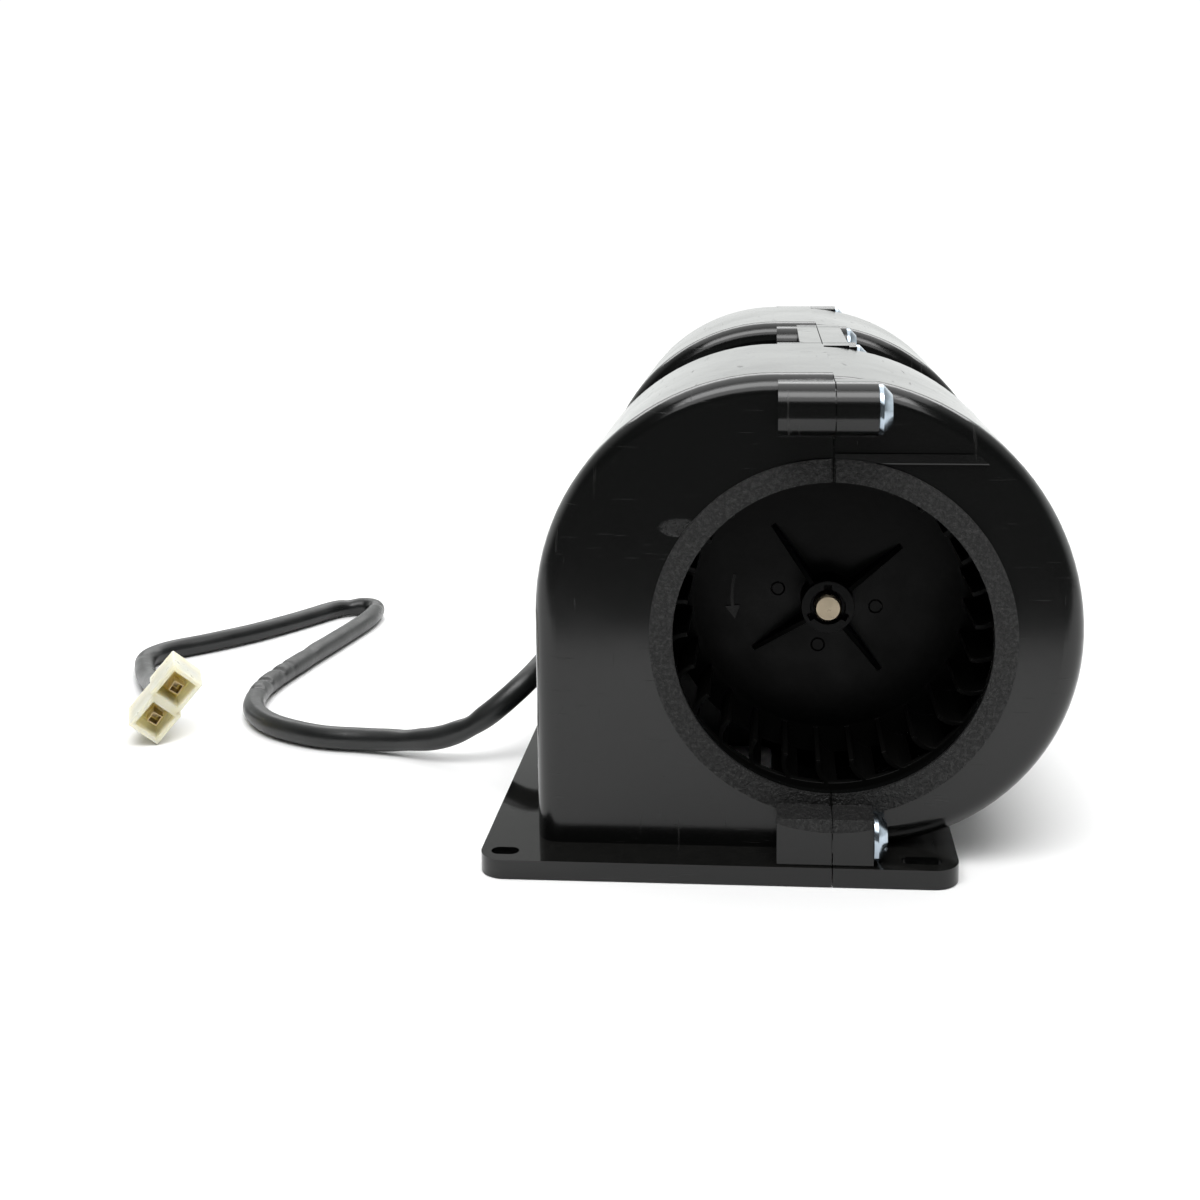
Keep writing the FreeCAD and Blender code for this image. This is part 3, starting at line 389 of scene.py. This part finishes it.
def materials():
    """One material for each slot of the record."""
    return {
        "casing_plastic": casing_plastic(),
        "wheel_plastic": satin_plastic(),
        "shaft_steel": turned_steel("shaft_steel", (0.44, 0.37, 0.27), 0.24, 0.38),
        "can_steel": plated("can_steel", (0.42, 0.43, 0.45), 0.28, 0.42),
        "zinc_screw": plated("zinc_screw", (0.50, 0.58, 0.66), 0.14, 0.26),
        "bell_casting": cast_metal(),
        "ferrite": speckled("ferrite", (0.05, 0.05, 0.055), (0.09, 0.09, 0.09), 0.7, 900.0),
        "phenolic": speckled("phenolic", (0.16, 0.09, 0.05), (0.22, 0.13, 0.07), 0.5, 500.0),
        "carbon": speckled("carbon", (0.02, 0.02, 0.02), (0.05, 0.05, 0.05), 0.55, 1400.0),
        "spring_steel": plated("spring_steel", (0.55, 0.52, 0.45), 0.25, 0.4),
        "sintered_bronze": speckled("sintered_bronze", (0.55, 0.36, 0.17), (0.38, 0.24, 0.11), 0.42, 1500.0,
                                    1.0),
        "ring_rubber": soft_black("ring_rubber", (0.012, 0.012, 0.012), 0.55, 0.75, 900.0, 0.0001),
        "lead_rubber": soft_black("lead_rubber", (0.011, 0.011, 0.012), 0.42, 0.6, 900.0, 0.00008),
        "lead_sleeving": soft_black("lead_sleeving", (0.0055, 0.006, 0.006), 0.26, 0.44, 500.0, 0.0001),
        "wire_insulation": soft_black("wire_insulation", (0.014, 0.014, 0.014), 0.3, 0.45, 800.0, 0.00003),
        "nylon": nylon(),
        "tinned_contact": plated("tinned_contact", (0.44, 0.34, 0.19), 0.28, 0.42),
        "core_steel": speckled("core_steel", (0.28, 0.28, 0.29), (0.20, 0.20, 0.20), 0.4, 1200.0, 1.0),
        "copper_wire": wound_copper(),
        "commutator_copper": turned_steel("commutator_copper", (0.62, 0.30, 0.14), 0.25, 0.4),
        "washer_fibre": speckled("washer_fibre", (0.25, 0.10, 0.06), (0.18, 0.07, 0.04), 0.6, 900.0),
    }


# ---------------------------------------------------------------- CAD nodes

# The widths of the small rounded edges, in mm.
SOFTENED_EDGES = {
    "casing_screws": 0.35,
    "front_wheel": 0.18,
    "rear_wheel": 0.18,
    "motor_can": 0.4,
    "front_end_bell": 0.5,
    "rear_end_bell": 0.5,
    "front_motor_ring": 0.5,
    "rear_motor_ring": 0.5,
    "motor_tie_screws": 0.25,
    "lead_grommet": 0.4,
    "connector_housing": 0.5,
    "connector_terminals": 0.2,
}
WELD_DISTANCE = 0.005 * MM
SHARP_ANGLE = 35


def finish_cad_nodes(finishes):
    """Gives every CAD node its material, and small rounded edges where they show."""
    for part in frame["record"]["subparts"]:
        node = NODES[part["node"]]
        node.data.materials.clear()
        node.data.materials.append(finishes[part["material_slot"]])
    for name, width in SOFTENED_EDGES.items():
        weld = NODES[name].modifiers.new("weld", "WELD")
        weld.merge_threshold = WELD_DISTANCE
        bevel = NODES[name].modifiers.new("edges", "BEVEL")
        bevel.width = width * MM
        bevel.segments = 2
        bevel.limit_method = "ANGLE"
        bevel.angle_limit = math.radians(SHARP_ANGLE)
        bevel.harden_normals = True


# ---------------------------------------------------------------- pieces


def piece(name, bm, body, finish, smooth=False):
    """Turns a bmesh into a piece that rides on a body."""
    bmesh.ops.recalc_face_normals(bm, faces=bm.faces)
    mesh = bpy.data.meshes.new(name)
    bm.to_mesh(mesh)
    bm.free()
    mesh.materials.append(finish)
    for polygon in mesh.polygons:
        polygon.use_smooth = smooth
    obj = bpy.data.objects.new(name, mesh)
    bpy.context.scene.collection.objects.link(obj)
    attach(obj, body)
    return obj


def band(bm, first, second):
    """Faces between two closed loops with as many points each."""
    for j in range(len(first)):
        k = (j + 1) % len(first)
        bm.faces.new((first[j], second[j], second[k], first[k]))


def capped(bm, loops):
    """A solid along a row of loops: a band between neighbours and a cap at each end."""
    for first, second in zip(loops, loops[1:]):
        band(bm, first, second)
    bm.faces.new(loops[0])
    bm.faces.new(loops[-1][::-1])


def hooped(bm, loops):
    """A solid round a ring of loops: a band between neighbours, and the last meets the first."""
    for first, second in zip(loops, loops[1:] + loops[:1]):
        band(bm, first, second)


def turns(count):
    """Equal angles round a full turn."""
    return [TURN * i / count for i in range(count)]


def on_wheel(radius, degrees, along):
    """A point at a radius and angle round the rotor axis; angles run from +X towards +Z."""
    angle = math.radians(degrees)
    return AXIS + Vector((radius * math.cos(angle), along, radius * math.sin(angle)))


def add_ring(bm, centre, radius, thick, around=28, section=8):
    """A small torus about an axis parallel to the rotor's."""
    loops = []
    for a in turns(around):
        loop = []
        for b in turns(section):
            reach = radius + thick * math.cos(b)
            offset = Vector((reach * math.cos(a), thick * math.sin(b), reach * math.sin(a)))
            loop.append(bm.verts.new(centre + offset))
        loops.append(loop)
    hooped(bm, loops)


WHEEL_PLACE = 86.0 * MM
DISC_HALF = 1.2 * MM
PIN_MARK_ANGLES = (170, 260, 350)
PIN_MARK_CIRCLE, PIN_MARK_RADIUS, PIN_MARK_THICK = 14.6 * MM, 1.9 * MM, 0.28 * MM
ARROW_MIDDLE = 180
ARROW_CIRCLE, ARROW_LENGTH = 28.0 * MM, 13.7 * MM
ARROW_HALF_WIDTH, ARROW_HEAD_HALF_WIDTH = 0.45 * MM, 2.2 * MM
ARROW_SUNK, ARROW_PROUD = 0.1 * MM, 0.4 * MM
ARROW_NECK = 0.4  # where the head begins, as a share of the way from the arrow's middle to its tip
ARROW_STEPS = 10


def arrow_outlines():
    """The turning arrow's curved shaft and its head, as outlines of points."""
    half = math.degrees(ARROW_LENGTH / ARROW_CIRCLE / 2)
    tail, neck, tip = ARROW_MIDDLE - half, ARROW_MIDDLE + ARROW_NECK * half, ARROW_MIDDLE + half
    angles = [tail + (neck - tail) * i / ARROW_STEPS for i in range(ARROW_STEPS + 1)]
    shaft = [on_wheel(ARROW_CIRCLE + ARROW_HALF_WIDTH, angle, 0) for angle in angles]
    shaft += [on_wheel(ARROW_CIRCLE - ARROW_HALF_WIDTH, angle, 0) for angle in reversed(angles)]
    barbs = ((-ARROW_HEAD_HALF_WIDTH, neck), (0, tip), (ARROW_HEAD_HALF_WIDTH, neck))
    head = [on_wheel(ARROW_CIRCLE + reach, angle, 0) for reach, angle in barbs]
    return shaft, head


def wheel_marks(label, side, finish):
    """Moulding marks on a wheel's disc: ejector-pin rings and a raised turning arrow."""
    face = side * (WHEEL_PLACE + DISC_HALF)
    bm = bmesh.new()
    for degrees in PIN_MARK_ANGLES:
        add_ring(bm, on_wheel(PIN_MARK_CIRCLE, degrees, face), PIN_MARK_RADIUS, PIN_MARK_THICK)
    for outline in arrow_outlines():
        capped(bm, [[bm.verts.new((p.x, along, p.z)) for p in outline]
                    for along in (face - side * ARROW_SUNK, face + side * ARROW_PROUD)])
    return piece(label + "_wheel_marks", bm, "rotor", finish)


BAR_LEFT, BAR_RIGHT = 30.9 * MM, 71.0 * MM
# The bar's section in mm, as across (Y), up (Z) and how far its right end is cut back. It leans forward, so
# that it catches the floor.
BAR_SECTION = ((-129.9, 114.4, 3.0), (-131.06, 114.4, 3.0), (-130.78, 111.95, 0.0), (-130.5, 111.4, 0.0),
               (-129.9, 111.4, 0.0))


def face_bar(finish):
    """The leaning front of the raised bar on the right half's front face."""
    bm = bmesh.new()
    left = [bm.verts.new((BAR_LEFT, y * MM, z * MM)) for y, z, _ in BAR_SECTION]
    right = [bm.verts.new((BAR_RIGHT - cut * MM, y * MM, z * MM)) for y, z, cut in BAR_SECTION]
    capped(bm, [right, left])
    return piece("face_bar", bm, "housing", finish)


RECEPTACLE_HALF, RECEPTACLE_WALL = 1.8 * MM, 0.3 * MM
RECEPTACLE_FRONT, RECEPTACLE_BACK = 2.0 * MM, 7.0 * MM


def receptacles(finish):
    """A folded sheet box round each pin, inside the connector's two ways."""
    mount = next(m for m in frame["record"]["mounts"] if m["name"] == "lead_connector")
    mouth, outward = Vector(mount["pos_m"]), Vector(mount["axis"]).normalized()
    openings = frame["record"]["physics"]["openings"]
    sockets = [o["box_m"] for o in openings if o["name"].endswith("connector_socket")]
    ways = [(Vector(low) + Vector(high)) / 2 for low, high in sockets]
    along = ways[1] - ways[0]
    along = (along - outward * along.dot(outward)).normalized()
    across = outward.cross(along)
    inner = RECEPTACLE_HALF - RECEPTACLE_WALL
    section = ((RECEPTACLE_HALF, RECEPTACLE_BACK), (RECEPTACLE_HALF, RECEPTACLE_FRONT),
               (inner, RECEPTACLE_FRONT), (inner, RECEPTACLE_BACK))
    bm = bmesh.new()
    for way in ways:
        centre = way - outward * (way - mouth).dot(outward)
        hooped(bm, [[bm.verts.new(centre - outward * depth + along * (half * a) + across * (half * b))
                     for a, b in ((-1, -1), (1, -1), (1, 1), (-1, 1))] for half, depth in section])
    return piece("contact_receptacles", bm, "housing", finish)


SCREW_REACHES = (136.8 * MM, 31.2 * MM)
SCREW_HEIGHTS = (AXIS.z + 63.2 * MM, 12.1 * MM)
FILL_BORE, FILL_RADIUS, FILL_HALF = 2.06 * MM, 5.4 * MM, 0.1 * MM
FILL_AROUND = 32


def seam_fills(finish):
    """Thin black washers in the seam round the screws, where the two halves' lugs meet."""
    section = ((FILL_BORE, -FILL_HALF), (FILL_BORE, FILL_HALF),
               (FILL_RADIUS, FILL_HALF), (FILL_RADIUS, -FILL_HALF))
    washer = [[Vector((across, radius * math.cos(a), radius * math.sin(a))) for a in turns(FILL_AROUND)]
              for radius, across in section]
    bm = bmesh.new()
    for reach in SCREW_REACHES:
        for side in (-1, 1):
            for height in SCREW_HEIGHTS:
                centre = Vector((AXIS.x, side * reach, height))
                hooped(bm, [[bm.verts.new(centre + offset) for offset in loop] for loop in washer])
    return piece("seam_fills", bm, "housing", finish)


# ---------------------------------------------------------------- lead

LEAD_RADIUS = 3.75 * MM
LEAD_ROUTE = [
    (-0.01249, -0.0120, 0.0437),
    (-0.0348, -0.0130, 0.0360),
    (-0.0570, -0.0300, 0.0325),
    (-0.0645, -0.0580, 0.0260),
    (-0.0860, -0.0620, 0.0090),
    (-0.1120, -0.0525, 0.00375),
    (-0.1400, -0.0500, 0.00375),
    (-0.1660, -0.0325, 0.00375),
    (-0.1735, -0.0040, 0.00375),
    (-0.1675, 0.0340, 0.00375),
    (-0.1610, 0.0680, 0.00375),
    (-0.1570, 0.0930, 0.00375),
    (-0.1595, 0.1100, 0.00375),
    (-0.1754, 0.1080, 0.00375),
    (-0.1870, 0.0860, 0.00375),
    (-0.2050, 0.0600, 0.00375),
    (-0.2330, 0.0360, 0.00375),
    (-0.2240, 0.0140, 0.00375),
    (-0.2135, -0.0030, 0.0046),
    (-0.2040, -0.0180, 0.0095),
]
# Where the sleeving is kinked: the share of its length, how deep, and how wide in metres.
KINKS = ((0.12, 0.14, 0.0050), (0.20, 0.20, 0.0035), (0.25, 0.16, 0.0045), (0.425, 0.20, 0.0016),
         (0.443, 0.26, 0.0014), (0.468, 0.30, 0.0016), (0.484, 0.20, 0.0013), (0.52, 0.12, 0.0035),
         (0.655, 0.18, 0.0018), (0.69, 0.20, 0.0030), (0.90, 0.16, 0.0040))
# A kink pinches the sleeving a little all round and more at the top, and bulges it at the sides.
PINCH_ROUND, PINCH_TOP, PINCH_BULGE = 0.35, 0.65, 0.25
# How wavy the sleeving is elsewhere: share of its radius, radians along its whole length, and start.
WAVES = ((0.018, 61.0, 0.0), (0.014, 143.0, 1.0))
WAVE_TWIST = 9.0
SLEEVE_AROUND = 32


def smooth_line(name, points):
    """The points of a NURBS spline through which a soft line runs."""
    curve = bpy.data.curves.new(name, "CURVE")
    curve.dimensions = "3D"
    spline = curve.splines.new("NURBS")
    spline.points.add(len(points) - 1)
    for point, place in zip(spline.points, points):
        point.co = (*place, 1.0)
    spline.order_u = 3
    spline.use_endpoint_u = True
    spline.resolution_u = 40
    holder = bpy.data.objects.new(name, curve)
    bpy.context.scene.collection.objects.link(holder)
    bpy.context.view_layer.update()
    evaluated = holder.evaluated_get(bpy.context.evaluated_depsgraph_get())
    mesh = bpy.data.meshes.new_from_object(evaluated)
    line = [v.co.copy() for v in mesh.vertices]
    bpy.data.meshes.remove(mesh)
    bpy.data.objects.remove(holder)
    bpy.data.curves.remove(curve)
    return line


def sleeve_reach(angle, here, total):
    """The sleeve's radius at an angle from its side and a share of its length: wavy, and pinched at kinks."""
    pinch = sum(deep * math.exp(-(((here - at) * total / wide) ** 2)) for at, deep, wide in KINKS)
    squeeze = PINCH_ROUND + PINCH_TOP * max(0.0, math.sin(angle)) ** 2
    fold = 1.0 - pinch * squeeze + PINCH_BULGE * pinch * abs(math.cos(angle))
    wave = sum(size * math.sin(here * rate + start) for size, rate, start in WAVES)
    return LEAD_RADIUS * (1.0 + wave * math.cos(angle + here * WAVE_TWIST)) * fold


def sleeve(finish):
    """The sleeved lead as one tube along its spline, slightly flattened and kinked where it bends hard."""
    line = smooth_line("lead_line", LEAD_ROUTE)
    lengths = [0.0]
    for a, b in zip(line, line[1:]):
        lengths.append(lengths[-1] + (b - a).length)
    up = Vector((0, 0, 1))
    bm = bmesh.new()
    loops = []
    for index, spot in enumerate(line):
        ahead = (line[min(index + 1, len(line) - 1)] - line[max(index - 1, 0)]).normalized()
        side = ahead.cross(up).normalized()
        top = side.cross(ahead).normalized()
        loop = []
        for a in turns(SLEEVE_AROUND):
            reach = sleeve_reach(a, lengths[index] / lengths[-1], lengths[-1])
            loop.append(bm.verts.new(spot + side * (reach * math.cos(a)) + top * (reach * math.sin(a))))
        loops.append(loop)
    capped(bm, loops)
    tube = piece("sleeve", bm, "housing", finish, smooth=True)
    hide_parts("lead_sleeve")
    return tube


# ---------------------------------------------------------------- room

FLOOR_LEFT, FLOOR_RIGHT, FLOOR_NEAR, FLOOR_FAR = -1.2, 1.2, -0.345, 1.3
FLOOR_DROP = 0.2 * MM
FLOOR_WHITE = 0.92

# The room's brightness by direction, as from, to, brightness at from and at to: dark on the camera's side and
# bright beyond the object along Y, and full near the floor but dimmer above along Z.
ROOM_BY_DEPTH = (-0.30, 0.35, 0.13, 1.22)
ROOM_BY_HEIGHT = (0.20, 0.42, 1.0, 0.42)
ROOM_TINT = (0.98, 1.0, 0.985, 1.0)
SEEN_WHITE = 1.05

# Each softbox has its place, what it points at, its width, its height and its power in watts.
SOFTBOXES = {
    "overhead": ((0.0, 0.5, 1.4), (0.0, 0.3, 0.0), 1.8, 1.2, 8),
    "front": ((0.0, -0.68, 1.25), (0.0, -0.1, 0.05), 1.4, 1.15, 13),
    "front_core": ((0.0, -0.56, 1.24), (0.0, -0.1, 0.05), 1.3, 0.45, 9),
    "backdrop": ((0.0, 1.5, 1.2), (0.0, 1.1, 0.0), 2.6, 0.8, 24),
}


def floor():
    """A white floor: its front edge is just out of frame, and the dark room beyond it shows in the gloss."""
    mesh = bpy.data.meshes.new("floor")
    corners = [(FLOOR_LEFT, FLOOR_NEAR, 0), (FLOOR_RIGHT, FLOOR_NEAR, 0), (FLOOR_RIGHT, FLOOR_FAR, 0),
               (FLOOR_LEFT, FLOOR_FAR, 0)]
    mesh.from_pydata(corners, [], [(0, 1, 2, 3)])
    plane = bpy.data.objects.new("floor", mesh)
    plane.location.z = -FLOOR_DROP
    bpy.context.scene.collection.objects.link(plane)
    mesh.materials.append(Shader("floor_white", (FLOOR_WHITE, FLOOR_WHITE, FLOOR_WHITE), 0.8).material)


def softbox(name, place, target, width, height, power):
    data = bpy.data.lights.new(name, "AREA")
    data.shape = "RECTANGLE"
    data.size, data.size_y = width, height
    data.energy = power
    lamp = bpy.data.objects.new(name, data)
    lamp.location = place
    lamp.rotation_euler = (Vector(target) - Vector(place)).to_track_quat("-Z", "Y").to_euler()
    bpy.context.scene.collection.objects.link(lamp)


def eased(tree, value, numbers):
    """A smooth step in the world's nodes, from one brightness to another."""
    node = tree.nodes.new("ShaderNodeMapRange")
    node.interpolation_type = "SMOOTHSTEP"
    for socket, number in zip(RANGE_SOCKETS, numbers):
        node.inputs[socket].default_value = number
    tree.links.new(value, node.inputs["Value"])
    return node.outputs["Result"]


def room_light(tree):
    """What the object sees of the room."""
    lit = tree.nodes.new("ShaderNodeBackground")
    lit.inputs["Color"].default_value = ROOM_TINT
    coords = tree.nodes.new("ShaderNodeTexCoord")
    split = tree.nodes.new("ShaderNodeSeparateXYZ")
    tree.links.new(coords.outputs["Generated"], split.inputs[0])
    product = tree.nodes.new("ShaderNodeMath")
    product.operation = "MULTIPLY"
    tree.links.new(eased(tree, split.outputs["Y"], ROOM_BY_DEPTH), product.inputs[0])
    tree.links.new(eased(tree, split.outputs["Z"], ROOM_BY_HEIGHT), product.inputs[1])
    tree.links.new(product.outputs[0], lit.inputs["Strength"])
    return lit.outputs[0]


def surroundings():
    """A white studio: bright behind the object, dark on the camera's side, and white to the eye."""
    world = bpy.data.worlds.new("studio")
    world.use_nodes = True
    tree = world.node_tree
    tree.nodes.clear()
    out = tree.nodes.new("ShaderNodeOutputWorld")
    seen = tree.nodes.new("ShaderNodeBackground")
    seen.inputs["Color"].default_value = (1, 1, 1, 1)
    seen.inputs["Strength"].default_value = SEEN_WHITE
    path = tree.nodes.new("ShaderNodeLightPath")
    mix = tree.nodes.new("ShaderNodeMixShader")
    tree.links.new(path.outputs["Is Camera Ray"], mix.inputs["Fac"])
    tree.links.new(room_light(tree), mix.inputs[1])
    tree.links.new(seen.outputs[0], mix.inputs[2])
    tree.links.new(mix.outputs[0], out.inputs[0])
    bpy.context.scene.world = world
    for name, settings in SOFTBOXES.items():
        softbox(name, *settings)
    bpy.context.scene.view_settings.view_transform = "Standard"


camera()
finishes = materials()
finish_cad_nodes(finishes)
sleeve(finishes["lead_sleeving"])
marks_finish = marks_gloss()
wheel_marks("front", -1, marks_finish)
wheel_marks("rear", 1, marks_finish)
seam_fills(finishes["casing_plastic"])
face_bar(finishes["casing_plastic"])
receptacles(finishes["tinned_contact"])
floor()
surroundings()
